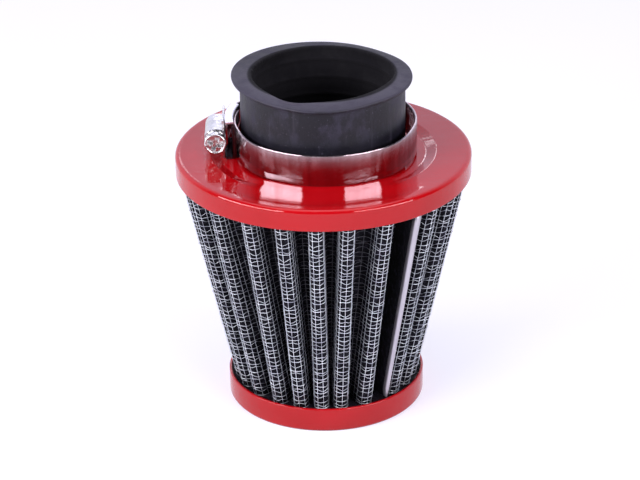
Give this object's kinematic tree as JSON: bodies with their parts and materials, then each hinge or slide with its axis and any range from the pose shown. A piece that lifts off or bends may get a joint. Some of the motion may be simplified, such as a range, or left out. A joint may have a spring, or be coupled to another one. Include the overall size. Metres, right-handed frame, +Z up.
{
  "type": "cone air filter",
  "caption": "Tapered clamp-on air filter: pleated wire-mesh cone between pressed red ends, with a rubber neck and a worm-drive hose clamp.",
  "frame": {"origin": "centre of the end cap's flat bottom face", "axes": "+Z up along the cone's axis towards the neck's mouth; the clamp's screw lies at -X with its head towards -Y"},
  "size_m": [0.0794, 0.0794, 0.0939],
  "materials": {
    "neck_rubber": "moulded black rubber, satin, paler on the rubbed lip",
    "red_paint": "glossy red paint on pressed steel",
    "sealant": "glossy black potting, poured and set",
    "wire_mesh": "bright thin wire, woven",
    "filter_media": "matt black fibrous sheet",
    "seam_metal": "bright folded strip",
    "clamp_steel": "stainless, brushed along the band",
    "screw_steel": "bright zinc plate"
  },
  "bodies": {
    "filter": {"rubber_neck": "neck_rubber", "top_plate": "red_paint", "upper_sealant": "sealant", "outer_mesh": "wire_mesh", "filter_media": "filter_media", "inner_mesh": "wire_mesh", "seam_clip": "seam_metal", "lower_sealant": "sealant", "end_cap": "red_paint", "clamp_band": "clamp_steel", "clamp_saddle": "clamp_steel", "clamp_housing": "clamp_steel"},
    "screw": {"clamp_screw": "screw_steel"}
  },
  "joints": [
    {"name": "screw_turn", "type": "hinge", "parent": "filter", "child": "screw", "pos_m": [-0.02866, -0.003, 0.07655], "axis": [0, 1, 0], "range_deg": [-630, 2610]}
  ]
}
